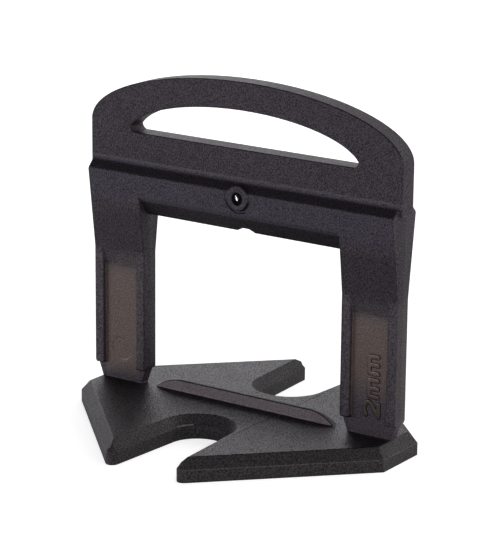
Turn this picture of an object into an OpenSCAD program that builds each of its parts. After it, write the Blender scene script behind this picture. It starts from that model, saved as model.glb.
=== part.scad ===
// Tile levelling clip: one moulded piece, a stirrup on a notched base plate.
// The two thin legs stand in the joint between tiles, the base lies under the tiles,
// a wedge goes through the window above them, and the legs snap off at their necks.
// Origin: centre of the base's underside. X runs along the joint, Y across it, Z up.

/* [Joint] */
// Width of the tile joint, which is the thickness of the lower legs
joint_w = 2; // [1.5:0.5:4]
// Thickness of the smooth web between a leg's ribs, and of its neck
web_t = 1.1; // [0.8:0.1:1.3]

/* [Handle] */
// Width of the handle plate along the joint
handle_w = 38; // [34:1:46]
// Thickness of the handle plate
handle_t = 2.1; // [1.6:0.1:3]
// Height of the handle's straight sides above the ledge
handle_side_h = 3.95; // [3:0.1:8]
// Rise of the elliptical arch above those sides
arch_rise = 6.1; // [5.5:0.1:9]
// Height of the arch band over the finger slot, at the crown
arch_band = 2.9; // [2:0.1:3.4]
// Height of the sill under the finger slot, above the ledge
slot_sill_h = 3.15; // [2:0.05:4]
// Width of the handle beside the finger slot, each side
slot_side_w = 4.75; // [3:0.05:7]
// Depth of the slot's elliptical centre below its sill
slot_drop = 0.3; // [0.1:0.1:0.8]
// Radius of the slot's two lower corners
slot_corner_r = 0.65; // [0.3:0.05:0.9]

/* [Shoulder and crossbar] */
// Distance that the shoulder stands out past the lower legs, front and back
shoulder_out = 1.2; // [0.8:0.1:2]
// Height of the sloping ledge between shoulder and handle plate
ledge_h = 1.1; // [0.8:0.1:2]
// Radius of the hollow where the ledge meets the handle plate
ledge_fillet_r = 0.8; // [0.2:0.1:0.8]
// Radius of the rounded edge between shoulder and ledge
shoulder_r = 0.4; // [0.2:0.05:0.6]
// Distance that the handle overhangs the legs at each end
side_step = 0.2; // [0.1:0.1:1]
// Height of the crossbar from its underside to the shoulder
bar_h = 4.35; // [3.5:0.05:7]
// Height of the long bevels along the crossbar's lower edges
bar_bevel_h = 2; // [1:0.1:2.8]
// Thickness of the crossbar's flat underside between those bevels
bar_sole_t = 1; // [0.6:0.1:1.6]
// Width of the small notch in the underside, below the gate
bar_notch_w = 2.2; // [2:0.1:5]
// Width of that notch at its top
bar_notch_top_w = 1; // [0.6:0.1:1.9]
// Depth of that notch
bar_notch_h = 0.4; // [0.2:0.05:0.8]

/* [Legs] */
// Clear width of the wedge window between the legs
window_w = 24.4; // [20:0.2:27]
// Height of the wedge window above the base
window_h = 18.75; // [16:0.25:26]
// Height above the base at which the legs begin to thicken
taper_start_h = 14.45; // [11:0.05:15.5]
// Width of the two ribs on each face of a leg
rib_w = 1.12; // [0.8:0.02:1.6]
// Height of the ramp from the leg's face into the web
ramp_h = 1.9; // [1:0.1:4]
// Draft of the leg sides on either half of the mould, in degrees
side_draft = 4; // [1:0.5:6]

/* [Necks] */
// Height of the break-off neck, from the base to the ribs' ends
neck_h = 1.6; // [1:0.1:3]
// Height of the slanted foot of a leg
foot_h = 2.05; // [1.2:0.05:4]
// Inset of the neck at the base, each side of a leg
neck_inset = 0.75; // [0.3:0.05:1.2]

/* [Base] */
// Thickness of the base plate
base_t = 2.4; // [1.8:0.1:4]
// Width of the bevel round the top of the base
base_bevel_w = 0.9; // [0.4:0.05:1.2]
// Height of that bevel
base_bevel_h = 1.1; // [0.5:0.05:1.5]
// Distance that the base reaches past the necks at each end
base_margin = 0.95; // [0.9:0.05:3]
// Length of the flat at each end of the base
base_flat_l = 6.4; // [4:0.2:10]
// Radius of the four prong tips
tip_r = 0.7; // [0.4:0.05:1.4]
// Depth of the bridge between the two notches
bridge_d = 10.6; // [8:0.2:14]
// Radius of the notches' round ends
notch_r = 3.15; // [2.4:0.05:3.8]
// Flare of the notches' sides, in degrees
notch_flare = 3.6; // [1:0.1:8]

/* [Fin] */
// Gap between the fin and each leg
fin_gap = 1.05; // [0.5:0.05:3]
// Height of the fin above the base
fin_h = 1.2; // [0.6:0.05:2]
// Thickness of the fin at its foot
fin_t = 0.7; // [0.5:0.1:1.4]
// Thickness of the fin at its top
fin_top_t = 0.4; // [0.2:0.1:0.5]
// Length of each end over which the fin curves down to the base
fin_end_l = 3.1; // [1.5:0.1:6]

/* [Moulding marks] */
// Diameter of the gate boss on the front
gate_d = 2.6; // [2:0.1:3.2]
// Distance of the gate, and of the small notch below it, from the middle along the joint
gate_x = 0.35; // [-1:0.05:1]
// Distance that the gate boss stands proud of the front
gate_proud = 0.15; // [0.1:0.05:0.4]
// Height of the gate's centre above the crossbar's underside
gate_h = 3.8; // [2.5:0.1:4]
// Diameter of the pit in the gate boss
gate_pit_d = 1.3; // [0.8:0.1:1.8]
// Depth of that pit
gate_pit_depth = 0.5; // [0.2:0.1:1]
// Diameter of the gate's stub in the pit
gate_stub_d = 0.5; // [0.2:0.1:0.7]
// Diameter of the ejector mark on the left leg
ejector_d = 2.6; // [1.5:0.1:3.4]
// Depth of the ejector mark
ejector_depth = 0.04; // [0.04:0.01:0.15]
// Height of the ejector mark's centre above the base
ejector_h = 3.5; // [2.5:0.1:8]

/* [Hidden] */
$fn = 96;

// Overrun of cutting shapes past the faces that they cut
over = 1;
// Overlap of shapes that are joined, such as the legs' roots in the base
lap = 0.4;
// Distance by which a rounding is kept from just touching the sides that it joins
hair = 0.01;

// Levels, from the underside of the base upwards
z_wall = base_t - base_bevel_h;
z_rib_end = base_t + neck_h;
z_foot = base_t + foot_h;
z_taper = base_t + taper_start_h;
z_under = base_t + window_h;
z_shoulder = z_under + bar_h;
z_ledge = z_shoulder + ledge_h;
z_sill = z_ledge + slot_sill_h;
z_spring = z_ledge + handle_side_h;
z_top = z_spring + arch_rise;
z_gate = z_under + gate_h;

// Half-sizes along the joint
handle_hw = handle_w / 2;
leg_out = handle_hw - side_step;
leg_in = window_w / 2;
leg_mid = (leg_out + leg_in) / 2;
neck_out = leg_out - neck_inset;
base_hw = neck_out + base_margin;

// Half-sizes across the joint
leg_ht = joint_w / 2;
web_ht = web_t / 2;
shoulder_ht = leg_ht + shoulder_out;
handle_ht = handle_t / 2;
taper_slope = shoulder_out / (z_shoulder - z_taper);
gate_front = face_ht(z_gate) + gate_proud;

// Half the depth of the square that the base's slanted sides lie on, along X and Y
diamond = base_hw + base_flat_l / 2;
notch_y = bridge_d / 2 + notch_r;

// Centre of the right front tip, tip_r from both the slanted side and the notch's flared side
tip_sum = diamond - sqrt(2) * tip_r;
tip_y = ((tip_sum - notch_r) * cos(notch_flare) + notch_y * sin(notch_flare) - tip_r)
    / (cos(notch_flare) + sin(notch_flare));
tip_x = tip_sum - tip_y;
// Direction in which that tip points, in degrees from the line across the joint
tip_aim = 22.5 - notch_flare / 2;

// Half the thickness of the stirrup at height z, between the taper's start and the shoulder
function face_ht(z) = leg_ht + taper_slope * (z - z_taper);

// Puts a profile drawn as (along the joint, up) upright, and makes it t thick across the joint
module upright(t) {
    rotate([90, 0, 0])
        linear_extrude(height = t, center = true)
            children();
}

// Puts a profile drawn as (across the joint, up) upright, and makes it l long along the joint
module along_joint(l) {
    rotate([90, 0, 90])
        linear_extrude(height = l, center = true)
            children();
}

module both_ends() {
    children();
    mirror([1, 0, 0]) children();
}

module both_faces() {
    children();
    mirror([0, 1, 0]) children();
}

module ellipse(a, b) {
    scale([1, b / a]) circle(r = a);
}

// Finger slot: the part of an ellipse above the sill, with its two lower corners rounded
module slot_profile() {
    slot_hw = handle_hw - slot_side_w;
    slot_centre = z_sill - slot_drop;
    slot_rise = z_top - arch_band - slot_centre;
    corner_z = z_sill + slot_corner_r - hair;
    corner_x = slot_hw * sqrt(1 - pow((corner_z - slot_centre) / slot_rise, 2)) - slot_corner_r + hair;
    difference() {
        intersection() {
            translate([0, slot_centre]) ellipse(slot_hw, slot_rise);
            translate([-slot_hw, z_sill]) square([2 * slot_hw, z_top]);
        }
        for (side = [0, 1])
            mirror([side, 0])
                difference() {
                    translate([corner_x, z_sill - over])
                        square([slot_corner_r + over, slot_corner_r - hair + over]);
                    translate([corner_x, corner_z]) circle(r = slot_corner_r);
                }
    }
}

// Front view of the handle: straight sides, elliptical arch and finger slot
module handle_profile() {
    difference() {
        union() {
            translate([0, z_spring]) ellipse(handle_hw, arch_rise);
            translate([-handle_hw, z_shoulder]) square([handle_w, z_spring - z_shoulder]);
        }
        slot_profile();
    }
}

// Half of the side view: leg, taper, shoulder, ledge and handle plate
module half_section() {
    difference() {
        polygon([
            [0, base_t - lap], [leg_ht, base_t - lap], [leg_ht, z_taper], [shoulder_ht, z_shoulder],
            [handle_ht, z_ledge], [handle_ht, z_top + over], [0, z_top + over],
        ]);
        shoulder_trim();
    }
    ledge_hollow();
}

// What is taken off the shoulder's edge to round it, between the taper's line and the ledge's slope
module shoulder_trim() {
    taper_aim = atan2(z_shoulder - z_taper, shoulder_out);
    ledge_aim = atan2(ledge_h, handle_ht - shoulder_ht);
    half_turn = (ledge_aim - taper_aim) / 2;
    out_aim = taper_aim + half_turn - 90;
    reach = shoulder_r * tan(half_turn);
    inset = shoulder_r / cos(half_turn) - hair;
    translate([shoulder_ht, z_shoulder])
        difference() {
            polygon([
                [-reach * cos(taper_aim), -reach * sin(taper_aim)],
                [over * cos(out_aim), over * sin(out_aim)],
                [reach * cos(ledge_aim), reach * sin(ledge_aim)],
            ]);
            translate([-inset * cos(out_aim), -inset * sin(out_aim)]) circle(r = shoulder_r);
        }
}

// Hollow fillet between the ledge's slope and the handle plate's face
module ledge_hollow() {
    turn = atan2(shoulder_ht - handle_ht, ledge_h);
    reach = ledge_fillet_r * tan(turn / 2);
    difference() {
        polygon([
            [handle_ht, z_ledge],
            [handle_ht + reach * sin(turn), z_ledge - reach * cos(turn)],
            [handle_ht, z_ledge + reach],
        ]);
        translate([handle_ht + ledge_fillet_r, z_ledge + reach]) circle(r = ledge_fillet_r);
    }
}

// Plan of the legs and shoulder, widest on the parting line and drafted to both faces
module drafted_plan(half_w, spread) {
    reach = shoulder_ht + over;
    far = half_w + spread * reach * tan(side_draft);
    polygon([[-half_w, 0], [-far, -reach], [far, -reach], [half_w, 0], [far, reach], [-far, reach]]);
}

module stirrup_blank() {
    intersection() {
        union() {
            upright(handle_t) handle_profile();
            translate([0, 0, base_t - lap])
                linear_extrude(height = z_ledge + ledge_fillet_r - base_t + lap)
                    drafted_plan(leg_out, -1);
        }
        along_joint(handle_w + 2 * over) {
            half_section();
            mirror([1, 0]) half_section();
        }
    }
}

// Wedge window, with the bevels along the crossbar's lower edges
module window_cut() {
    bevel_top = z_under + bar_bevel_h;
    sole_ht = bar_sole_t / 2;
    run = (face_ht(bevel_top) - sole_ht) / bar_bevel_h;
    intersection() {
        linear_extrude(height = z_shoulder) drafted_plan(leg_in, 1);
        along_joint(handle_w)
            difference() {
                translate([-shoulder_ht, 0]) square([2 * shoulder_ht, bevel_top]);
                polygon([
                    [-sole_ht, z_under], [sole_ht, z_under],
                    [sole_ht + run * z_top, z_under + z_top], [-sole_ht - run * z_top, z_under + z_top],
                ]);
            }
    }
    upright(2 * shoulder_ht)
        translate([gate_x, z_under])
            polygon([
                [-bar_notch_w / 2, 0], [-bar_notch_top_w / 2, bar_notch_h],
                [bar_notch_top_w / 2, bar_notch_h], [bar_notch_w / 2, 0],
                [bar_notch_w / 2, -over], [-bar_notch_w / 2, -over],
            ]);
}

// Pocket between the ribs on one face of a leg, which opens below the ribs' ends over the whole neck
module panel_cut() {
    panel_w = leg_out - leg_in - 2 * rib_w;
    translate([leg_mid, 0, 0])
        along_joint(panel_w)
            polygon([
                [web_ht, z_rib_end - over], [web_ht, z_taper - ramp_h], [leg_ht, z_taper],
                [leg_ht + over, z_taper], [leg_ht + over, z_rib_end - over],
            ]);
    translate([leg_in - over, web_ht, 0])
        cube([leg_out - leg_in + 2 * over, leg_ht, z_rib_end]);
}

// Slanted sides of a leg's foot
module foot_cut() {
    upright(joint_w + 2 * over)
        for (side = [-1, 1])
            translate([leg_mid, 0])
                polygon([
                    [side * (leg_out - leg_mid), z_foot],
                    [side * (leg_out - leg_mid - neck_inset), base_t],
                    [side * (leg_out - leg_mid - neck_inset), 0],
                    [side * (leg_out - leg_mid + over), 0],
                    [side * (leg_out - leg_mid + over), z_foot],
                ]);
}

module gate_boss() {
    translate([gate_x, 0, z_gate])
        rotate([90, 0, 0])
            difference() {
                cylinder(d = gate_d, h = gate_front);
                translate([0, 0, gate_front - gate_pit_depth])
                    difference() {
                        cylinder(d = gate_pit_d, h = gate_pit_depth + over);
                        cylinder(d = gate_stub_d, h = gate_pit_depth);
                    }
            }
}

module ejector_mark() {
    translate([-leg_mid, ejector_depth - web_ht, base_t + ejector_h])
        rotate([90, 0, 0])
            cylinder(d = ejector_d, h = over);
}

module stirrup() {
    difference() {
        stirrup_blank();
        window_cut();
        both_ends() {
            foot_cut();
            both_faces() panel_cut();
        }
        ejector_mark();
    }
}

// Straight bar of the base's thickness with bevelled top edges, along Y
module bevelled_bar(half_w) {
    rotate([90, 0, 0])
        linear_extrude(height = 4 * diamond, center = true)
            polygon([
                [-half_w, 0], [half_w, 0], [half_w, z_wall], [half_w - base_bevel_w, base_t],
                [base_bevel_w - half_w, base_t], [-half_w, z_wall],
            ]);
}

// Section of a notch from its middle outwards: wall, bevel and clearance above and below
module notch_section(inner) {
    lift = base_bevel_w / base_bevel_h * over;
    polygon([
        [-inner, -over], [notch_r, -over], [notch_r, z_wall],
        [notch_r + base_bevel_w + lift, base_t + over], [-inner, base_t + over],
    ]);
}

// Front notch: a round end with two flared sides that run out between the prongs
module notch_cut() {
    translate([0, -notch_y, 0]) {
        rotate_extrude() notch_section(0);
        both_ends()
            translate([notch_r, 0, 0])
                rotate([0, 0, notch_flare])
                    translate([-notch_r, lap, 0])
                        rotate([90, 0, 0])
                            linear_extrude(height = diamond)
                                notch_section(notch_r - lap);
    }
}

// Rounds off one prong: what lies past the ends of the tip's arc goes, and a cone-topped post fills it
module tip_trim() {
    chord = tip_r * sin(45 - tip_aim);
    translate([tip_x, -tip_y, 0])
        rotate([0, 0, -tip_aim])
            translate([-tip_r - over, -chord - tip_r - over, -over])
                cube([2 * tip_r + 2 * over, tip_r + over, base_t + 2 * over]);
}

module tip_post() {
    r = tip_r - hair;
    translate([tip_x, -tip_y, 0])
        intersection() {
            rotate_extrude()
                polygon([[0, 0], [r, 0], [r, z_wall], [0, z_wall + r * base_bevel_h / base_bevel_w]]);
            cylinder(r = tip_r + over, h = base_t);
        }
}

module base_plate() {
    difference() {
        intersection() {
            rotate([0, 0, 45]) bevelled_bar(diamond / sqrt(2));
            rotate([0, 0, -45]) bevelled_bar(diamond / sqrt(2));
            bevelled_bar(base_hw);
        }
        both_faces() {
            notch_cut();
            both_ends() tip_trim();
        }
    }
    both_faces() both_ends() tip_post();
}

// Low fin between the legs, with a drafted section and ends that curve down to the base
module fin() {
    half_l = leg_in - fin_gap;
    end_r = (fin_end_l * fin_end_l + fin_h * fin_h) / (2 * fin_h);
    fin_top = base_t + fin_h;
    foot_grow = (fin_t - fin_top_t) / 2 / fin_h * lap;
    intersection() {
        upright(joint_w)
            difference() {
                translate([-half_l, base_t - lap]) square([2 * half_l, fin_h + lap]);
                for (side = [0, 1])
                    mirror([side, 0])
                        translate([half_l - fin_end_l, 0])
                            difference() {
                                translate([0, base_t]) square([fin_end_l + over, fin_h + over]);
                                translate([0, fin_top - end_r]) circle(r = end_r);
                            }
            }
        along_joint(window_w)
            polygon([
                [-fin_t / 2 - foot_grow, base_t - lap], [fin_t / 2 + foot_grow, base_t - lap],
                [fin_top_t / 2, fin_top], [-fin_top_t / 2, fin_top],
            ]);
    }
}

module levelling_clip() {
    color([0.16, 0.15, 0.16])
        union() {
            stirrup();
            gate_boss();
            base_plate();
            fin();
        }
}

levelling_clip();
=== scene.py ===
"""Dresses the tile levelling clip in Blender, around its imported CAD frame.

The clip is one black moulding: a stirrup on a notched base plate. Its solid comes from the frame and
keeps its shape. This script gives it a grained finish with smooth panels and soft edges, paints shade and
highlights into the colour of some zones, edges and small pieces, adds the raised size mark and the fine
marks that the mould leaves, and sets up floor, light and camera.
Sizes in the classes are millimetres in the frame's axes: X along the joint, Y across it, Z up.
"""

import logging
import math
from collections.abc import Sequence
from dataclasses import dataclass, replace
from enum import Enum

import bpy
import numpy as np
from mathutils import Matrix, Vector


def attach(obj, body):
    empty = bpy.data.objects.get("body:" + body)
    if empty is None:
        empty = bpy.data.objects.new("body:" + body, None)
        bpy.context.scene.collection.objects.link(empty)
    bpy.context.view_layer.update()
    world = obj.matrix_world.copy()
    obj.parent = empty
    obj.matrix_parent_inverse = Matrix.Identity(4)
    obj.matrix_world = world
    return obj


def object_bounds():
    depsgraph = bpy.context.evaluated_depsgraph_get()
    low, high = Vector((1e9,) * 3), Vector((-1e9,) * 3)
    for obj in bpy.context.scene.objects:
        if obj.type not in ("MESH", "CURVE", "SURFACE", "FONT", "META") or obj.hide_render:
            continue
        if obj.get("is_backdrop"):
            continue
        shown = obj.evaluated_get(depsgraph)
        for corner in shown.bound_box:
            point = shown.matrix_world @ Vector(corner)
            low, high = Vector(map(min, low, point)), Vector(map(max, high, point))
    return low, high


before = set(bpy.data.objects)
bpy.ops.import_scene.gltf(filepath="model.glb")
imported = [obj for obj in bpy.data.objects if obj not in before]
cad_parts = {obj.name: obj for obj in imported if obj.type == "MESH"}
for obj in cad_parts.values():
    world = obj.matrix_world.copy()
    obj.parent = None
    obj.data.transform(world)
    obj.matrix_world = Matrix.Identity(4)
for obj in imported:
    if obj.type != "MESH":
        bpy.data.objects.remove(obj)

MM = 0.001
CLIP_NODE = "levelling_clip"
CLIP_BODY = "root"
PHOTO_LONG_SIDE_PX = 550
LOG = logging.getLogger("levelling_clip")

Colour = tuple[float, float, float]
Point = tuple[float, float, float]
Span = tuple[float, float]
Socket = bpy.types.NodeSocket
Source = Socket | float | Colour

WHITE: Colour = (1.0, 1.0, 1.0)
RISING: Span = (0.0, 1.0)
FALLING: Span = (1.0, 0.0)
FULL_TURN_DEG = 360.0
ARC_POINTS = 16
LEAST_PATH_POINTS = 6


class Axis(Enum):
    """Axis of the frame, by its name on a Separate XYZ node."""

    ALONG = "X"
    ACROSS = "Y"
    UP = "Z"


class NodeSheet:
    """Short ways to add and link nodes in one node tree."""

    def __init__(self, tree: bpy.types.NodeTree) -> None:
        """Starts from an empty tree.

        Args:
            tree: The node tree to fill.
        """
        self.tree = tree
        tree.nodes.clear()

    def add(self, kind: str, **settings: object) -> bpy.types.Node:
        """Adds a node.

        Args:
            kind: The node's Blender type, without the ShaderNode prefix.
            settings: Properties to set on it.

        Returns:
            The new node.
        """
        node = self.tree.nodes.new("ShaderNode" + kind)
        for name, value in settings.items():
            setattr(node, name, value)
        return node

    def feed(self, socket: Socket, source: Source) -> None:
        """Links a socket to another one, or sets its value.

        Args:
            socket: The input to fill.
            source: An output socket, a number, or a colour, which is made opaque.
        """
        if isinstance(source, Socket):
            self.tree.links.new(source, socket)
        else:
            socket.default_value = (*source, 1.0) if isinstance(source, tuple) else source

    def sum_up(self, operation: str, *terms: Source) -> Socket:
        """Adds a Math node.

        Args:
            operation: The Math node's operation.
            terms: Its inputs, sockets or numbers.

        Returns:
            The node's output.
        """
        node = self.add("Math", operation=operation)
        for socket, term in zip(node.inputs, terms):
            self.feed(socket, term)
        return node.outputs[0]

    def scaled(self, value: Socket, source: tuple[Source, Source], target: tuple[Source, Source],
               smooth: bool = False) -> Socket:
        """Adds a Map Range node.

        Args:
            value: The value to map.
            source: The two ends of its range.
            target: What those ends map to.
            smooth: Whether the map eases in and out.

        Returns:
            The mapped value.
        """
        node = self.add("MapRange", interpolation_type="SMOOTHSTEP" if smooth else "LINEAR")
        for socket, term in zip(node.inputs, (value, *source, *target)):
            self.feed(socket, term)
        return node.outputs[0]

    def mixed(self, share: Socket, low: Source, high: Source) -> Socket:
        """Adds a mix of two numbers.

        Args:
            share: Share of the high number, from 0 to 1.
            low: Number at share 0.
            high: Number at share 1.

        Returns:
            The mixed number.
        """
        return self.scaled(share, RISING, (low, high))

    def blend(self, share: Socket, low: Source, high: Source) -> Socket:
        """Adds a mix of two colours.

        Args:
            share: Share of the high colour, from 0 to 1.
            low: Colour at share 0.
            high: Colour at share 1.

        Returns:
            The mixed colour.
        """
        node = self.add("Mix", data_type="RGBA")
        self.feed(node.inputs["Factor"], share)
        for name, source in (("A", low), ("B", high)):
            self.feed(next(s for s in node.inputs if s.name == name and s.type == "RGBA"), source)
        return next(s for s in node.outputs if s.type == "RGBA")

    def split(self, vector: Socket) -> dict[Axis, Socket]:
        """Takes a vector apart.

        Args:
            vector: The vector.

        Returns:
            Its parts by axis.
        """
        node = self.add("SeparateXYZ")
        self.feed(node.inputs[0], vector)
        return {axis: node.outputs[axis.value] for axis in Axis}


def new_material(name: str) -> tuple[bpy.types.Material, NodeSheet]:
    """Makes a material without nodes.

    Args:
        name: The material's name.

    Returns:
        The material, and the sheet for its nodes.
    """
    material = bpy.data.materials.new(name)
    material.use_nodes = True
    return material, NodeSheet(material.node_tree)


class Facing(Enum):
    """Which way a surface has to face: axes of its normal, with the values for no coat and a full one."""

    ANY = ()
    UP = ((Axis.UP, 0.2, 0.4),)
    DOWN = ((Axis.UP, -0.2, -0.4),)
    FRONT = ((Axis.ACROSS, -0.87, -0.96),)
    FRONT_TOP = ((Axis.UP, 0.2, 0.4), (Axis.ACROSS, -0.2, -0.4))


@dataclass(frozen=True)
class Patch:
    """Box on the moulding with soft borders, for the surfaces in it that face a given way.

    Where it is mirrored it counts X and Y without their signs, so that it lies on both legs and both sides.
    """

    along: Span
    across: Span
    up: Span
    soft_along: float = 0.12
    soft_across: float = 0.12
    soft_up: float = 0.12
    facing: Facing = Facing.ANY
    mirrored: bool = True

    def mask(self, sheet: NodeSheet, place: Socket, normal: Socket) -> Socket:
        """Builds a mask that is 1 in the box and 0 outside, with its soft borders between them.

        Args:
            sheet: The material's nodes.
            place: Object coordinates.
            normal: The surface's normal.

        Returns:
            The mask.
        """
        spot = sheet.split(place)
        spans = (self.along, self.across, self.up)
        borders = (self.soft_along, self.soft_across, self.soft_up)
        shares = []
        for axis, (low, high), border in zip(Axis, spans, borders):
            middle, half, ease = (low + high) / 2 * MM, (high - low) / 2 * MM, border / 2 * MM
            unsigned = self.mirrored and axis is not Axis.UP
            value = sheet.sum_up("ABSOLUTE", spot[axis]) if unsigned else spot[axis]
            away = sheet.sum_up("ABSOLUTE", sheet.sum_up("SUBTRACT", value, middle))
            shares.append(sheet.scaled(away, (half - ease, half + ease), FALLING, True))
        for axis, none, full in self.facing.value:
            shares.append(sheet.scaled(sheet.split(normal)[axis], (none, full), RISING, True))
        joined = shares[0]
        for share in shares[1:]:
            joined = sheet.sum_up("MULTIPLY", joined, share)
        return joined


@dataclass(frozen=True)
class Finish:
    """Look of a zone: grain from dark to light, roughness, gloss and its tint, and depth of the grain."""

    dark: Colour
    light: Colour
    rough: Span
    gloss: float
    tint: Colour = WHITE
    grain: float = 1.0


@dataclass(frozen=True)
class Surface:
    """What a material reads of the surface: place, normal, normal with soft edges, and how the two agree."""

    place: Socket
    normal: Socket
    soft_normal: Socket
    agreement: Socket


@dataclass(frozen=True)
class Coat:
    """Finish on one zone of the moulding or, where agreement is given, only on the edges in it.

    The agreement is the cosine between the normal with soft edges and the face's own: first the value up to
    which an edge has its full coat, then the value where the coat ends.
    """

    zone: str
    patch: Patch
    finish: Finish
    agreement: Span | None = None

    def mask(self, sheet: NodeSheet, surface: Surface) -> Socket:
        """Builds the mask of the zone or of the edges in it, on a node with the zone's name.

        Args:
            sheet: The material's nodes.
            surface: What the material reads.

        Returns:
            The mask.
        """
        if self.agreement is None:
            mask = self.patch.mask(sheet, surface.place, surface.normal)
        else:
            near = sheet.scaled(surface.agreement, self.agreement, FALLING, True)
            mask = sheet.sum_up("MULTIPLY", near, self.patch.mask(sheet, surface.place, surface.soft_normal))
        mask.node.label = self.zone
        return mask


@dataclass
class Look:
    """Sockets or values that feed the shader."""

    colour: Source
    rough: Source
    gloss: Source
    tint: Source
    depth: Source


@dataclass(frozen=True)
class Noise:
    """Noise texture: size of its features, number of finer layers, and weight of those layers."""

    size_mm: float
    layers: float
    weight: float

    def value(self, sheet: NodeSheet, place: Socket) -> Socket:
        """Adds the texture.

        Args:
            sheet: The material's nodes.
            place: Object coordinates.

        Returns:
            The noise, from 0 to 1.
        """
        node = sheet.add("TexNoise")
        scale = 1 / (self.size_mm * MM)
        inputs = {"Vector": place, "Scale": scale, "Detail": self.layers, "Roughness": self.weight}
        for name, source in inputs.items():
            sheet.feed(node.inputs[name], source)
        return node.outputs[0]


@dataclass(frozen=True)
class MouldedPlastic:
    """Black plastic from an etched mould: a fine matte grain, other finishes and painted shade and
    highlights by zone, and worn edges.
    """

    name: str
    finish: Finish
    coats: tuple[Coat, ...] = ()
    grain: Noise = Noise(0.135, 1.0, 0.5)
    grain_span: Span = (0.36, 0.64)
    grain_depth_mm: float = 0.06
    grain_gloss: float = 0.45
    cloud: Noise = Noise(2.6, 3.0, 0.6)
    cloud_span: Span = (0.3, 0.7)
    edge_mm: float = 0.28
    edge_agreement: Span = (0.78, 0.94)
    edge_rough: float = 0.34
    edge_grain: float = 0.1
    edge_samples: int = 8

    def build(self) -> bpy.types.Material:
        """Makes the material: its finish, each coat over what lies below it, and the wear of the edges.

        Returns:
            The material.
        """
        material, sheet = new_material(self.name)
        surface = self._surface(sheet)
        grain, cloud = self.grain.value(sheet, surface.place), self.cloud.value(sheet, surface.place)
        speck = sheet.scaled(grain, self.grain_span, RISING)
        look = self._look(sheet, self.finish, speck, cloud)
        for coat in self.coats:
            over = self._look(sheet, coat.finish, speck, cloud)
            look = self._over(sheet, coat.mask(sheet, surface), look, over)
        worn = sheet.scaled(surface.agreement, self.edge_agreement, FALLING, True)
        bump = sheet.add("Bump")
        sheet.feed(bump.inputs["Strength"], sheet.mixed(worn, look.depth, self.edge_grain))
        sheet.feed(bump.inputs["Distance"], self.grain_depth_mm * MM)
        sheet.feed(bump.inputs["Height"], grain)
        sheet.feed(bump.inputs["Normal"], surface.soft_normal)
        shader = sheet.add("BsdfPrincipled")
        sheet.feed(shader.inputs["Base Color"], look.colour)
        sheet.feed(shader.inputs["Roughness"], sheet.mixed(worn, look.rough, self.edge_rough))
        sheet.feed(shader.inputs["Specular IOR Level"], look.gloss)
        sheet.feed(shader.inputs["Specular Tint"], look.tint)
        sheet.feed(shader.inputs["Normal"], bump.outputs[0])
        sheet.feed(sheet.add("OutputMaterial").inputs["Surface"], shader.outputs[0])
        return material

    def _surface(self, sheet: NodeSheet) -> Surface:
        """Adds what the material reads of the surface; the edges are softened to the edge radius.

        Args:
            sheet: The material's nodes.

        Returns:
            The sockets.
        """
        place = sheet.add("TexCoord").outputs["Object"]
        normal = sheet.add("NewGeometry").outputs["Normal"]
        edge = sheet.add("Bevel", samples=self.edge_samples)
        sheet.feed(edge.inputs["Radius"], self.edge_mm * MM)
        cosine = sheet.add("VectorMath", operation="DOT_PRODUCT")
        sheet.feed(cosine.inputs[0], edge.outputs[0])
        sheet.feed(cosine.inputs[1], normal)
        return Surface(place, normal, edge.outputs[0], cosine.outputs["Value"])

    def _look(self, sheet: NodeSheet, finish: Finish, speck: Socket, cloud: Socket) -> Look:
        """Turns a finish into what feeds the shader: grain moves its colour and gloss, clouds its roughness.

        Args:
            sheet: The material's nodes.
            finish: The finish.
            speck: The grain, from 0 to 1.
            cloud: The clouds, from 0 to 1.

        Returns:
            The look.
        """
        swing = self.grain_gloss * finish.grain
        colour = sheet.blend(speck, finish.dark, finish.light)
        rough = sheet.scaled(cloud, self.cloud_span, finish.rough)
        gloss = finish.gloss
        if swing:
            gloss = sheet.mixed(speck, finish.gloss * (1 - swing), finish.gloss * (1 + swing))
        return Look(colour, rough, gloss, finish.tint, finish.grain)

    @staticmethod
    def _over(sheet: NodeSheet, mask: Socket, under: Look, over: Look) -> Look:
        """Lays one look over another.

        Args:
            sheet: The material's nodes.
            mask: Share of the upper look, from 0 to 1.
            under: The lower look.
            over: The upper look.

        Returns:
            The mixed look.
        """
        return Look(sheet.blend(mask, under.colour, over.colour), sheet.mixed(mask, under.rough, over.rough),
                    sheet.mixed(mask, under.gloss, over.gloss), sheet.blend(mask, under.tint, over.tint),
                    sheet.mixed(mask, under.depth, over.depth))


# Finishes of the moulding; several of them paint shade and highlights, as marked below
BLACK = Finish(dark=(0.0080, 0.0056, 0.0088), light=(0.0300, 0.0210, 0.0330), rough=(0.52, 0.58), gloss=0.34)
PANEL = Finish(dark=(0.033, 0.021, 0.017), light=(0.060, 0.038, 0.031), rough=(0.27, 0.32), gloss=0.82,
               tint=(1.0, 0.87, 0.82), grain=0.6)
# Painted shade: the upper legs are darker because their faces lean down, away from the light
UPPER_LEG = Finish(dark=(0.0080, 0.0056, 0.0085), light=(0.0215, 0.0150, 0.0230), rough=(0.52, 0.58),
                   gloss=0.30)
# Slightly smoother finish, with a lighter colour as painted light from the floor near the lower legs; on the
# marked panel's foot it is painted shade
LEG = Finish(dark=(0.0170, 0.0125, 0.0160), light=(0.0450, 0.0335, 0.0420), rough=(0.50, 0.56), gloss=0.38)
BASE_TOP = Finish(dark=(0.0026, 0.0022, 0.0026), light=(0.0084, 0.0071, 0.0084), rough=(0.36, 0.40),
                  gloss=0.21, grain=2.0)
BASE_SIDE = Finish(dark=(0.0080, 0.0064, 0.0073), light=(0.0250, 0.0204, 0.0227), rough=(0.52, 0.58),
                   gloss=0.33)
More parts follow.
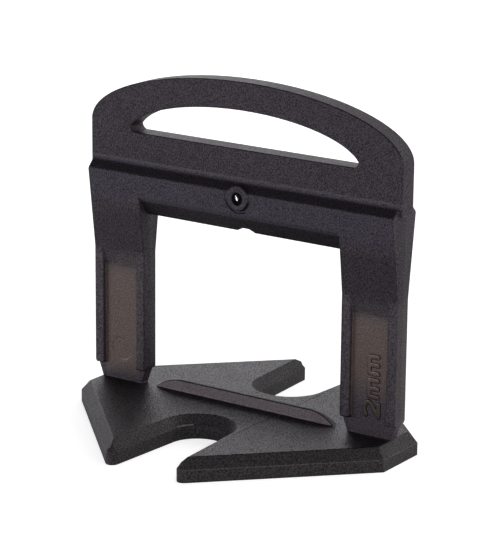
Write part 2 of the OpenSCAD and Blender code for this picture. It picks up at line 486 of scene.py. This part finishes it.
# Painted highlight: a light line on the base's edges between bevel and wall
RIDGE_HIGHLIGHT = Finish(dark=(0.062, 0.055, 0.056), light=(0.098, 0.087, 0.089), rough=(0.42, 0.48), gloss=0.50,
               grain=0.5)
CROSSBAR = Finish(dark=(0.0135, 0.0102, 0.0170), light=(0.0350, 0.0265, 0.0440), rough=(0.52, 0.58),
                  gloss=0.36)
# Painted highlight: a light band on the rounded foot of the handle, over the ledge
BAND_HIGHLIGHT = Finish(dark=(0.028, 0.023, 0.032), light=(0.052, 0.043, 0.060), rough=(0.50, 0.56), gloss=0.38)
# Painted shade: dark colour for the ledge under the handle and for the left end of the finger slot
LEDGE_SHADE = Finish(dark=(0.0058, 0.0045, 0.0065), light=(0.0150, 0.0117, 0.0170), rough=(0.52, 0.58), gloss=0.20)
# Painted shade: the crossbar's underside darker, for the dark below it
UNDER_SHADE = Finish(dark=(0.0050, 0.0038, 0.0050), light=(0.0140, 0.0106, 0.0140), rough=(0.52, 0.58), gloss=0.18)
FIN_FACE = Finish(dark=(0.064, 0.049, 0.051), light=(0.104, 0.082, 0.085), rough=(0.38, 0.44), gloss=0.45,
                  grain=0.5)
SHADE = Finish(dark=(0.0015, 0.0015, 0.0015), light=(0.004, 0.004, 0.004), rough=(0.40, 0.50), gloss=0.04,
               grain=0.2)

# Finishes of the small pieces on it; several of them paint shade and highlights, as marked below
# Painted shade: the steep sides of the raised letters darker, as if in shade
MARK_SIDE_SHADE = Finish(dark=(0.005, 0.004, 0.003), light=(0.010, 0.008, 0.006), rough=(0.40, 0.50), gloss=0.20,
                   grain=0.3)
# Painted shade: the lower part of the mark darker towards the panel's foot, like the panel under it
MARK_FOOT_SHADE = Finish(dark=(0.022, 0.016, 0.012), light=(0.040, 0.029, 0.023), rough=(0.34, 0.42), gloss=0.45,
               tint=(1.0, 0.90, 0.86), grain=0.3)
# Painted highlight: a light line on one stretch of the front notch's edge between wall and bevel
NOTCH_HIGHLIGHT = Finish(dark=(0.075, 0.072, 0.075), light=(0.150, 0.145, 0.150), rough=(0.40, 0.50), gloss=0.45,
               grain=0.6)
# Dark colour of the mould lines, and painted shade for the line along the fin's top edge
SEAM_AND_SHADE = Finish(dark=(0.003, 0.003, 0.003), light=(0.008, 0.008, 0.008), rough=(0.50, 0.60), gloss=0.06,
              grain=0.2)
STUB = Finish(dark=(0.010, 0.009, 0.010), light=(0.016, 0.014, 0.016), rough=(0.04, 0.05), gloss=0.60,
              grain=0.0)

FIN = Patch(along=(0.0, 11.25), across=(0.0, 0.42), up=(2.44, 3.9))
FIN_TOP = replace(FIN, facing=Facing.UP)
MARK_FRONT = Patch(along=(13.0, 18.0), across=(0.0, 1.0), up=(3.0, 12.0), facing=Facing.FRONT)

# Coats in the order in which they are laid: a later one covers those before it
CLIP_COATS = (
    # Painted light: the lower legs lighter, as if lit more from the floor near them, and a slightly smoother
    # finish
    Coat("lower legs", Patch(along=(12.45, 19.2), across=(0.0, 1.15), up=(2.6, 16.6), soft_up=1.5), LEG),
    Coat("base sides", Patch(along=(0.0, 19.2), across=(0.0, 17.7), up=(-0.2, 2.38), soft_up=0.05),
         BASE_SIDE),
    Coat("base top", Patch(along=(0.0, 19.1), across=(0.0, 17.6), up=(2.36, 2.44), soft_up=0.05,
                           facing=Facing.UP), BASE_TOP),
    # Painted shade on the crossbar's underside
    Coat("painted shade on the crossbar underside", Patch(along=(0.0, 12.6), across=(0.5, 2.4), up=(20.6, 22.8),
                                     facing=Facing.DOWN), UNDER_SHADE),
    # Painted shade: darker upper legs, whose faces lean down
    Coat("upper legs", Patch(along=(12.1, 18.75), across=(0.5, 2.4), up=(16.9, 21.3), soft_up=1.4),
         UPPER_LEG),
    Coat("crossbar face", Patch(along=(0.0, 19.0), across=(1.6, 2.3), up=(22.4, 25.45), soft_up=0.8),
         CROSSBAR),
    # Painted highlight on the rounded foot of the handle, over the ledge
    Coat("painted highlight over the ledge", Patch(along=(0.0, 19.1), across=(0.9, 1.75), up=(26.38, 26.86), soft_up=0.2),
         BAND_HIGHLIGHT),
    # Painted shade on the ledge, which the handle keeps from the light
    Coat("ledge", Patch(along=(0.0, 19.1), across=(1.1, 2.26), up=(25.60, 26.32), soft_up=0.2,
                        facing=Facing.UP), LEDGE_SHADE),
    Coat("leg panels", Patch(along=(13.32, 17.68), across=(0.0, 0.76), up=(3.5, 14.7), soft_along=0.3,
                             soft_across=0.4, soft_up=2.6), PANEL),
    # Painted shade: the marked panel darker towards its foot, for the dark base mirrored in it
    Coat("painted shade at the foot of the marked panel", Patch(along=(13.2, 17.8), across=(-0.8, 0.0), up=(2.2, 7.2),
                                           soft_along=0.3, soft_across=0.4, soft_up=4.4, mirrored=False),
         LEG),
    Coat("fin faces", FIN, FIN_FACE),
    Coat("fin top", FIN_TOP, BLACK),
    Coat("middle of the fin top", replace(FIN_TOP, along=(0.0, 8.6), soft_along=0.8), SHADE),
    # Painted shade in the left end of the finger slot
    Coat("painted shade at the left end of the finger slot", Patch(along=(-14.6, -13.3), across=(-1.0, 0.5), up=(29.85, 31.0),
                                              soft_along=0.3, soft_across=0.8, soft_up=0.6, mirrored=False),
         LEDGE_SHADE),
    Coat("gate pit", Patch(along=(-0.34, 1.04), across=(-2.24, -1.60), up=(24.26, 25.64), soft_along=0.04,
                           soft_across=0.04, soft_up=0.04, mirrored=False), SHADE),
    Coat("front edge of the handle", Patch(along=(0.0, 19.2), across=(0.0, 3.0), up=(29.5, 36.8),
                                           facing=Facing.FRONT_TOP), SHADE, (0.82, 0.965)),
    # Painted highlight along the base's edges between bevel and wall
    Coat("painted highlight on the ridges of the base", Patch(along=(4.4, 19.2), across=(0.0, 17.7), up=(0.4, 2.1), soft_up=0.3),
         RIDGE_HIGHLIGHT, (0.93, 0.985)),
    Coat("foot of the gate boss", Patch(along=(-1.2, 1.9), across=(-2.6, -1.6), up=(23.3, 24.75),
                                        soft_along=0.3, soft_up=0.5, mirrored=False), SHADE, (0.90, 0.985)),
    Coat("ends of the leg ribs", Patch(along=(12.4, 18.9), across=(0.3, 1.2), up=(3.75, 4.15), soft_up=0.15),
         SHADE, (0.86, 0.975)),
)
MARK_COATS = (
    Coat("front of the letters", MARK_FRONT, PANEL),
    # Painted shade on the lower part of the mark's front
    Coat("painted shade on the lower front of the mark", replace(MARK_FRONT, up=(3.0, 7.2), soft_up=3.0), MARK_FOOT_SHADE),
)


def new_piece(name: str, rings: np.ndarray, ends: np.ndarray | None,
              material: bpy.types.Material) -> bpy.types.Object:
    """Makes a tube from a grid of rings: quads between neighbouring rings, and fans to two end points.

    Args:
        name: The piece's name.
        rings: Ring points in millimetres, rings by points by 3, each ring turning the same way.
        ends: The two end points, or None where the last ring joins the first.
        material: The piece's material.

    Returns:
        The piece, riding on the clip.
    """
    count, around = rings.shape[:2]
    index = np.arange(count * around).reshape(count, around)
    ahead = np.roll(index, -1, axis=0) if ends is None else index[1:]
    here = index if ends is None else index[:-1]
    quads = np.stack([here, np.roll(here, -1, axis=1), np.roll(ahead, -1, axis=1), ahead], -1)
    points = rings.reshape(-1, 3)
    faces = quads.reshape(-1, 4).tolist()
    if ends is not None:
        points = np.concatenate([points, ends])
        first, last = np.full(around, len(points) - 2), np.full(around, len(points) - 1)
        faces += np.stack([first, np.roll(index[0], -1), index[0]], -1).tolist()
        faces += np.stack([last, index[-1], np.roll(index[-1], -1)], -1).tolist()
    mesh = bpy.data.meshes.new(name)
    mesh.from_pydata((points * MM).tolist(), [], faces)
    mesh.polygons.foreach_set("use_smooth", np.ones(len(mesh.polygons), bool))
    mesh.materials.append(material)
    piece = bpy.data.objects.new(name, mesh)
    bpy.context.scene.collection.objects.link(piece)
    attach(piece, CLIP_BODY)
    return piece


@dataclass(frozen=True)
class Bead:
    """Raised line on a flat face: an oval carried along a path, whose lower half lies in the face."""

    width: float
    height: float
    around: int = 8
    square: float = 1.0
    closed: bool = False

    def build(self, name: str, path: np.ndarray, out: np.ndarray,
              material: bpy.types.Material) -> bpy.types.Object:
        """Carries the oval along a path.

        Each ring is the path's point, plus half the width times the cosine along the side, plus the height
        times the sine along the face's normal. Cosine and sine are raised to the power 1 / square with their
        signs kept: a square of 1 is an ellipse, and more makes the top flatter. Towards the ends of an open
        path the rings shrink as a circle does. A closed path's last point joins its first.

        Args:
            name: The piece's name.
            path: Points in millimetres on the face, count by 3.
            out: The face's unit normal.
            material: The piece's material.

        Returns:
            The piece.
        """
        if self.closed:
            tangent = np.roll(path, -1, axis=0) - np.roll(path, 1, axis=0)
            swell = np.ones(len(path))
        else:
            tangent = np.gradient(path, axis=0)
            run = running_length(path)
            near = np.clip(np.minimum(run, run[-1] - run) / (self.width / 2), 0, 1)
            swell = np.sqrt(np.clip(1 - (1 - near) ** 2, 0, 1))
        tangent /= np.linalg.norm(tangent, axis=1, keepdims=True)
        side = np.cross(tangent, out)
        turn = np.linspace(0, 2 * np.pi, self.around, endpoint=False)
        waves = np.stack([np.cos(turn), np.sin(turn)])
        wide, high = np.sign(waves) * np.abs(waves) ** (1 / self.square)
        reach = side[:, None] * wide[:, None] * self.width / 2 + out * high[:, None] * self.height
        rings = path[:, None] + reach * swell[:, None, None]
        if self.closed:
            return new_piece(name, rings, None, material)
        return new_piece(name, rings[1:-1], path[[0, -1]], material)


def running_length(points: np.ndarray) -> np.ndarray:
    """Length of a line from its start to each of its points: the running sum of the steps between them."""
    return np.concatenate([[0.0], np.cumsum(np.linalg.norm(np.diff(points, axis=0), axis=1))])


def even_path(corners: np.ndarray, step: float) -> np.ndarray:
    """Spreads points evenly along a line of straight pieces, by interpolating on its running length.

    Args:
        corners: The line's points, count by dimensions.
        step: Distance between points.

    Returns:
        The spread points.
    """
    run = running_length(corners)
    places = np.linspace(0, run[-1], max(LEAST_PATH_POINTS, int(run[-1] / step) + 1))
    return np.stack([np.interp(places, run, column) for column in corners.T], 1)


def arc(centre: Span, radii: Span, ends_deg: Span, count: int = ARC_POINTS) -> np.ndarray:
    """Points of an elliptical arc: the centre plus the radii times cosine and sine of an even run of angles.

    Args:
        centre: The arc's centre.
        radii: Its two half-axes.
        ends_deg: First and last angle.
        count: Number of points.

    Returns:
        The points, count by 2.
    """
    turn = np.radians(np.linspace(*ends_deg, count))
    return np.array(centre) + np.array(radii) * np.stack([np.cos(turn), np.sin(turn)], 1)


def view_axes(azimuth_deg: float, elevation_deg: float, roll_deg: float = 0.0) -> np.ndarray:
    """Axes of a thing that stands round the clip, or of a face that looks out that way.

    The axis out points away from the clip. A level axis and its cross product with out are turned about out
    by the roll, to give right and up.

    Args:
        azimuth_deg: Angle round Z, 0 in front and 90 on the right.
        elevation_deg: Angle above the horizon.
        roll_deg: Turn about the axis out.

    Returns:
        The unit axes right, up and out, as rows.
    """
    turn, rise, roll = np.radians([azimuth_deg, elevation_deg, roll_deg])
    out = np.array([np.sin(turn) * np.cos(rise), -np.cos(turn) * np.cos(rise), np.sin(rise)])
    level = np.array([np.cos(turn), np.sin(turn), 0.0])
    above = np.cross(out, level)
    right = level * np.cos(roll) + above * np.sin(roll)
    up = above * np.cos(roll) - level * np.sin(roll)
    return np.stack([right, up, out])


@dataclass
class ClipBody:
    """The moulding itself: the frame's solid, whose edges the plastic softens."""

    node_name: str = CLIP_NODE
    plastic: MouldedPlastic = MouldedPlastic("grained_black_plastic", BLACK, CLIP_COATS)

    def dress(self) -> bpy.types.Object:
        """Gives the solid its plastic.

        Returns:
            The frame's node.
        """
        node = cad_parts[self.node_name]
        node.data.materials.clear()
        node.data.materials.append(self.plastic.build())
        return node


@dataclass
class SizeMark:
    """Raised size mark on the right leg's panel, read upwards: a digit and two letters."""

    panel_y: float = -0.55
    foot_x: float = 16.72
    start_z: float = 4.22
    cap_h: float = 1.95
    x_height: float = 1.45
    digit_w: float = 1.98
    letter_w: float = 2.28
    gaps: Span = (0.08, 0.18)
    bowl_share: float = 0.68
    bowl_deg: Span = (175.0, -30.0)
    bar_lift: float = 0.6
    bar_end: float = 0.4
    shoulder_r: float = 0.30
    step: float = 0.05
    bead: Bead = Bead(width=0.54, height=0.12, around=24, square=1.6)
    # Its sides carry painted shade, and the lower part of its front painted shade too
    plastic: MouldedPlastic = MouldedPlastic("size_mark_plastic", MARK_SIDE_SHADE, MARK_COATS, edge_mm=0.03)

    def build(self) -> list[bpy.types.Object]:
        """Builds every stroke as a bead on the panel.

        Returns:
            The pieces.
        """
        strokes = {"mark_digit": self._digit()}
        start = self.digit_w
        for number, gap in enumerate(self.gaps, 1):
            start += gap
            for part, line in self._letter(start).items():
                strokes[f"mark_letter_{number}_{part}"] = line
            start += self.letter_w
        out, material = np.array([0.0, -1.0, 0.0]), self.plastic.build()
        return [self.bead.build(name, self._on_panel(even_path(line, self.step)), out, material)
                for name, line in strokes.items()]

    def _on_panel(self, line: np.ndarray) -> np.ndarray:
        """Lays a stroke on the panel: the direction of reading runs up, and the letters' tops point to -X.

        Args:
            line: Points of the stroke, count by 2: place along the reading, and height.

        Returns:
            The points in the frame, count by 3.
        """
        x, z = self.foot_x - line[:, 1], self.start_z + line[:, 0]
        return np.stack([x, np.full(len(line), self.panel_y), z], 1)

    def _digit(self) -> np.ndarray:
        """The figure 2: a bowl, a slanting line down to the left foot, and a bar.

        Returns:
            Its line, count by 2.
        """
        w, h, inset = self.digit_w, self.cap_h, self.bead.width / 2
        radii = (w / 2 - inset, h * (1 - self.bowl_share) - inset / 2)
        bowl = arc((w / 2, h * self.bowl_share), radii, self.bowl_deg)
        bar_y = inset * self.bar_lift
        bar = np.array([[inset, bar_y], [w - inset * self.bar_end, bar_y]])
        return np.concatenate([bowl, bar])

    def _letter(self, start: float) -> dict[str, np.ndarray]:
        """The letter m: a stem and two shoulders, each a flat top, a quarter circle and a stem.

        Args:
            start: Place of its left side.

        Returns:
            Its three strokes.
        """
        inset, r = self.bead.width / 2, self.shoulder_r
        h, span, left = self.x_height - inset / 2, (self.letter_w - 2 * inset) / 2, start + inset
        strokes = {"stem": np.array([[left, 0.0], [left, h]])}
        for number in (0, 1):
            foot = left + number * span
            top, end = [[foot - inset, h]], [[foot + span, 0.0]]
            corner = arc((foot + span - r, h - r), (r, r), (90.0, 0.0))
            strokes[f"arch_{number + 1}"] = np.concatenate([top, corner, end])
        return strokes


@dataclass(frozen=True)
class Face:
    """Flat face of the clip, by a point of it and its lean: 0 looks to the front, and -90 looks up."""

    origin: Point
    lean_deg: float

    def lay(self, flat: np.ndarray) -> tuple[np.ndarray, np.ndarray]:
        """Lays a flat line on the face: its first part runs along X, its second up the face.

        Args:
            flat: The line, count by 2.

        Returns:
            The line in the frame, count by 3, and the face's unit normal.
        """
        lean = math.radians(self.lean_deg)
        uphill = np.array([0.0, -math.sin(lean), math.cos(lean)])
        path = np.array(self.origin) + flat[:, :1] * np.array([1.0, 0.0, 0.0]) + flat[:, 1:] * uphill
        return path, np.array([0.0, -math.cos(lean), -math.sin(lean)])


@dataclass
class MouldLinesAndFinShade:
    """Fine lines that the mould's inserts leave on the base's bridge, round the gate and on the fin, and a
    line of painted shade along the fin's top edge.
    """

    base_top: Face = Face((0.0, 0.0, 2.4), -90.0)
    insert_x: float = 4.38
    insert_y: float = 4.42
    cross_x: float = 1.75
    reach_y: Span = (0.34, 8.50)
    gate_face: Face = Face((0.35, -2.124, 24.95), 7.9)
    gate_r: float = 1.62
    gate_arc_deg: Span = (165.0, 300.0)
    gate_points: int = 60
    pin_face: Face = Face((-7.10, -0.246, 3.23), -7.1)
    pin_r: float = 0.21
    pin_points: int = 48
    fin_face: Face = Face((0.0, -0.35, 2.4), -7.1)
    fin_half: float = 11.15
    fin_h: float = 1.2
    fin_end: float = 3.1
    fin_inset: float = 0.04
    step: float = 0.15
    line: Bead = Bead(width=0.10, height=0.012)
    faint: Bead = Bead(width=0.06, height=0.008)
    ring: Bead = Bead(width=0.06, height=0.008, closed=True)
    rim: Bead = Bead(width=0.14, height=0.03)
    outline: Bead = Bead(width=0.08, height=0.012)
    plastic: MouldedPlastic = MouldedPlastic("mould_line_and_shade_plastic", SEAM_AND_SHADE, edge_mm=0.02)

    def build(self, clip_plastic: bpy.types.Material) -> list[bpy.types.Object]:
        """Builds the lines on the base, the rim round the gate, a pin's ring on the fin, and the line of
        painted shade along the fin's top.

        Args:
            clip_plastic: The clip's own material, for the rim and the ring.

        Returns:
            The pieces.
        """
        seam_and_shade = self.plastic.build()
        (near, far), x, y = self.reach_y, self.insert_x, self.insert_y
        last_deg = FULL_TURN_DEG - FULL_TURN_DEG / self.pin_points
        gate = arc((0.0, 0.0), (self.gate_r, self.gate_r), self.gate_arc_deg, self.gate_points)
        pin = arc((0.0, 0.0), (self.pin_r, self.pin_r), (0.0, last_deg), self.pin_points)
        cross = self._straight((self.cross_x, -y), (x, -y))
        lines = {
            "mould_line_front": (self._straight((x, -near), (x, -far)), self.base_top, self.line, seam_and_shade),
            "mould_line_back": (self._straight((x, near), (x, far)), self.base_top, self.line, seam_and_shade),
            "mould_line_cross": (cross, self.base_top, self.faint, seam_and_shade),
            "gate_rim": (gate, self.gate_face, self.rim, clip_plastic),
            "fin_pin_ring": (pin, self.pin_face, self.ring, clip_plastic),
            # Painted shade: a dark line along the fin's top edge, for the dark overhead mirrored there
            "fin_outline_shade": (self._fin_line(), self.fin_face, self.outline, seam_and_shade),
        }
        return [bead.build(name, *face.lay(flat), material)
                for name, (flat, face, bead, material) in lines.items()]

    def _straight(self, start: Span, end: Span) -> np.ndarray:
        """A straight line between two points, as even points."""
        return even_path(np.array([start, end]), self.step)

    def _fin_line(self) -> np.ndarray:
        """The line of painted shade along the fin's top, a little inside its front outline: two arcs and the
        straight top between them.

        Each arc has the radius (end squared plus height squared) over twice the height, and its centre is
        below the end of the straight top.

        Returns:
            The line on the fin's face, count by 2.
        """
        radius = (self.fin_end ** 2 + self.fin_h ** 2) / (2 * self.fin_h)
        reach = math.degrees(math.asin(self.fin_end / radius))
        x, z, r = self.fin_half - self.fin_end, self.fin_h - radius, radius - self.fin_inset
        left = arc((-x, z), (r, r), (90 + reach, 90))
        right = arc((x, z), (r, r), (90, 90 - reach))
        return even_path(np.concatenate([left, right]), self.step)


@dataclass
class NotchHighlight:
    """Painted highlight along the edge between the front notch's wall and its bevel."""

    centre: Span = (0.0, -8.45)
    radius: float = 3.17
    z: float = 1.50
    arc_deg: Span = (166.0, 132.0)
    points: int = 40
    slope: float = 0.5
    bead: Bead = Bead(width=0.16, height=0.02)
    plastic: MouldedPlastic = MouldedPlastic("notch_highlight_plastic", NOTCH_HIGHLIGHT, edge_mm=0.02)

    def build(self) -> bpy.types.Object:
        """Builds the painted highlight as a bead on an arc of the edge, facing the notch's middle and up by
        the slope.

        Returns:
            The scuff.
        """
        flat = arc(self.centre, (self.radius, self.radius), self.arc_deg, self.points)
        path = np.column_stack([flat, np.full(len(flat), self.z)])
        out = np.array([*(np.array(self.centre) - flat).mean(0), self.radius * self.slope])
        return self.bead.build("notch_highlight", path, out / np.linalg.norm(out), self.plastic.build())


@dataclass
class GateStub:
    """Torn end of the gate in its pit: a small smooth lens that catches the key lamp."""

    place: Point = (0.32, -2.30, 25.00)
    half_axes: Span = (0.075, 0.31)
    turn_deg: float = -5.4
    rise_deg: float = 16.3
    tilt_deg: float = 35.0
    dome_r: float = 22.0
    depth: float = 0.22
    around: int = 48
    ring_shares: tuple[float, ...] = (0.3, 0.6, 0.9, 0.97, 1.0, 1.0)
    plastic: MouldedPlastic = MouldedPlastic("gate_stub_plastic", STUB, edge_mm=0.02, edge_rough=0.05)

    def build(self) -> bpy.types.Object:
        """Builds the lens as oval rings, each a share of the half-axes.

        They go out to the rim with a drop of distance squared over twice the dome's radius, and the last one
        lies straight back in the pit.

        Returns:
            The stub.
        """
        short, long, out = view_axes(self.turn_deg, self.rise_deg, self.tilt_deg)
        shares = np.array(self.ring_shares)[:, None]
        angle = np.linspace(0, 2 * np.pi, self.around, endpoint=False)
        x, y = shares * np.cos(angle) * self.half_axes[0], shares * np.sin(angle) * self.half_axes[1]
        drop = (x ** 2 + y ** 2) / (2 * self.dome_r)
        drop[-1] += self.depth
        middle = np.array(self.place)
        rings = middle + x[..., None] * short + y[..., None] * long - drop[..., None] * out
        ends = np.stack([middle, middle - out * self.depth])
        return new_piece("gate_stub", rings, ends, self.plastic.build())


@dataclass(frozen=True)
class Softbox:
    """Rectangular soft lamp that faces the clip, given by its place and its brightness as a surface."""

    name: str
    azimuth_deg: float
    elevation_deg: float
    width: float
    height: float
    radiance: float
    colour: Colour = WHITE
    distance: float = 700.0

    @property
    def watts(self) -> float:
        """Power that gives the lamp its radiance: radiance times pi times its area."""
        return self.radiance * math.pi * self.width * self.height * MM * MM


@dataclass
class Studio:
    """White floor, pale surround that dims overhead, soft lamps, and a camera at the photograph's angle."""

    floor_size: float = 6000.0
    floor_colour: Colour = (0.86, 0.86, 0.86)
    floor_lift_seen: float = 0.70
    floor_lift_gloss: float = 0.28
    sky_low: Colour = (0.60, 0.60, 0.60)
    sky_high: Colour = (0.05, 0.05, 0.05)
    sky_span: Span = (0.05, 0.30)
    target: Point = (0.4978, 0.0, 16.4995)
    azimuth_deg: float = 34.4083
    elevation_deg: float = 15.6096
    roll_deg: float = 0.5765
    distance: float = 261.095
    focal_px: float = 2554.9
    sensor_mm: float = 36.0
    clip_mm: Span = (10.0, 50000.0)
    lamps: tuple[Softbox, ...] = (
        Softbox("key_spot", -45.0, 12.0, 45.0, 45.0, 45.0),
        Softbox("front_left_softbox", -45.0, 9.0, 560.0, 190.0, 3.4, (1.0, 0.95, 1.06)),
        Softbox("front_softbox", 0.0, 11.0, 560.0, 240.0, 1.4, (0.96, 0.97, 1.15)),
        Softbox("front_right_softbox", 45.0, 20.0, 560.0, 440.0, 1.35),
        Softbox("right_softbox", 90.0, 14.0, 560.0, 270.0, 1.2, (1.08, 1.0, 0.90)),
        Softbox("high_right_softbox", 80.0, 57.0, 560.0, 300.0, 0.55),
        Softbox("back_right_softbox", 138.0, 27.0, 560.0, 380.0, 2.5),
        Softbox("back_softbox", 195.0, 34.0, 700.0, 220.0, 2.6, (1.01, 0.97, 1.02)),
        Softbox("back_left_softbox", 233.0, 13.0, 660.0, 260.0, 2.15, (1.01, 0.97, 1.02)),
    )

    def build(self) -> None:
        """Builds floor, surround, lamps and camera."""
        bpy.context.scene.view_settings.view_transform = "Standard"
        self._floor()
        self._surround()
        for lamp in self.lamps:
            self._lamp(lamp)
        self._camera()

    @staticmethod
    def _rays(sheet: NodeSheet) -> tuple[Socket, Socket]:
        """Adds a Light Path node.

        Args:
            sheet: The nodes of a material or the world.

        Returns:
            Whether a ray is the camera's own or comes through glass, and whether it is a gloss ray.
        """
        path = sheet.add("LightPath").outputs
        seen = sheet.sum_up("MAXIMUM", path["Is Camera Ray"], path["Is Transmission Ray"])
        return seen, path["Is Glossy Ray"]

    def _floor(self) -> None:
        """Lays the floor: a pale plane that is lifted to white where it is seen, with the shadow kept."""
        half = self.floor_size / 2 * MM
        corners = np.array([[-1, -1, 0], [1, -1, 0], [1, 1, 0], [-1, 1, 0]]) * half
        mesh = bpy.data.meshes.new("floor")
        mesh.from_pydata(corners.tolist(), [], [[0, 1, 2, 3]])
        paper, sheet = new_material("floor_paper")
        matte, glow, both = (sheet.add(kind) for kind in ("BsdfDiffuse", "Emission", "AddShader"))
        seen, gloss = self._rays(sheet)
        lift = sheet.sum_up("ADD", sheet.sum_up("MULTIPLY", seen, self.floor_lift_seen),
                            sheet.sum_up("MULTIPLY", gloss, self.floor_lift_gloss))
        sheet.feed(matte.inputs["Color"], self.floor_colour)
        sheet.feed(glow.inputs["Strength"], lift)
        sheet.feed(both.inputs[0], matte.outputs[0])
        sheet.feed(both.inputs[1], glow.outputs[0])
        sheet.feed(sheet.add("OutputMaterial").inputs["Surface"], both.outputs[0])
        mesh.materials.append(paper)
        floor = bpy.data.objects.new("floor", mesh)
        bpy.context.scene.collection.objects.link(floor)
        floor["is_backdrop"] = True

    def _surround(self) -> None:
        """Sets the world: white where it is seen, and for other rays a pale horizon that dims overhead."""
        world = bpy.data.worlds.new("surround")
        bpy.context.scene.world = world
        world.use_nodes = True
        sheet = NodeSheet(world.node_tree)
        aim = sheet.split(sheet.add("TexCoord").outputs["Generated"])
        height = sheet.scaled(aim[Axis.UP], self.sky_span, RISING, True)
        sky, white, mix = (sheet.add(kind) for kind in ("Background", "Background", "MixShader"))
        sheet.feed(sky.inputs["Color"], sheet.blend(height, self.sky_low, self.sky_high))
        sheet.feed(white.inputs["Color"], WHITE)
        sheet.feed(mix.inputs[0], self._rays(sheet)[0])
        sheet.feed(mix.inputs[1], sky.outputs[0])
        sheet.feed(mix.inputs[2], white.outputs[0])
        sheet.feed(sheet.add("OutputWorld").inputs["Surface"], mix.outputs[0])

    def _lamp(self, box: Softbox) -> None:
        """Hangs one softbox on a sphere round the clip, facing its middle.

        Args:
            box: The softbox.
        """
        data = bpy.data.lights.new(box.name, "AREA")
        data.energy, data.color = box.watts, box.colour
        data.shape, data.size, data.size_y = "RECTANGLE", box.width * MM, box.height * MM
        lamp = bpy.data.objects.new(box.name, data)
        lamp.visible_camera = False
        back = Vector(view_axes(box.azimuth_deg, box.elevation_deg)[2])
        lamp.location = (Vector(self.target) + back * box.distance) * MM
        lamp.rotation_euler = (-back).to_track_quat("-Z", "Y").to_euler()
        bpy.context.scene.collection.objects.link(lamp)

    def _camera(self) -> None:
        """Places the camera: axes from azimuth, elevation and roll, lens from the focal length in pixels."""
        axes = view_axes(self.azimuth_deg, self.elevation_deg, self.roll_deg)
        data = bpy.data.cameras.new("camera")
        data.sensor_width = self.sensor_mm
        data.lens = self.focal_px * self.sensor_mm / PHOTO_LONG_SIDE_PX
        data.clip_start, data.clip_end = (limit * MM for limit in self.clip_mm)
        camera = bpy.data.objects.new("camera", data)
        place = Matrix(axes.T.tolist()).to_4x4()
        place.translation = (Vector(self.target) + Vector(axes[2]) * self.distance) * MM
        camera.matrix_world = place
        bpy.context.scene.collection.objects.link(camera)
        bpy.context.scene.camera = camera


def write_sizes(cad: Sequence[Vector]) -> None:
    """Sets the CAD's box beside the dressed clip's box in a table, which is then not kept.

    Args:
        cad: Lowest and highest corner of the frame before it was dressed.
    """
    boxes = {"cad": cad, "visual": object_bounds()}
    {name: [list(corner) for corner in box] for name, box in boxes.items()}


def main() -> None:
    """Builds the clip's pieces in order and reports each one."""
    logging.basicConfig(level=logging.INFO, format="%(message)s")
    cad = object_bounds()
    body = ClipBody().dress()
    LOG.info("%s: dressed", body.name)
    pieces = [*SizeMark().build(), *MouldLinesAndFinShade().build(body.data.materials[0]), NotchHighlight().build(),
              GateStub().build()]
    for piece in pieces:
        LOG.info("%s: %d faces", piece.name, len(piece.data.polygons))
    Studio().build()
    write_sizes(cad)


if __name__ == "__main__":
    main()
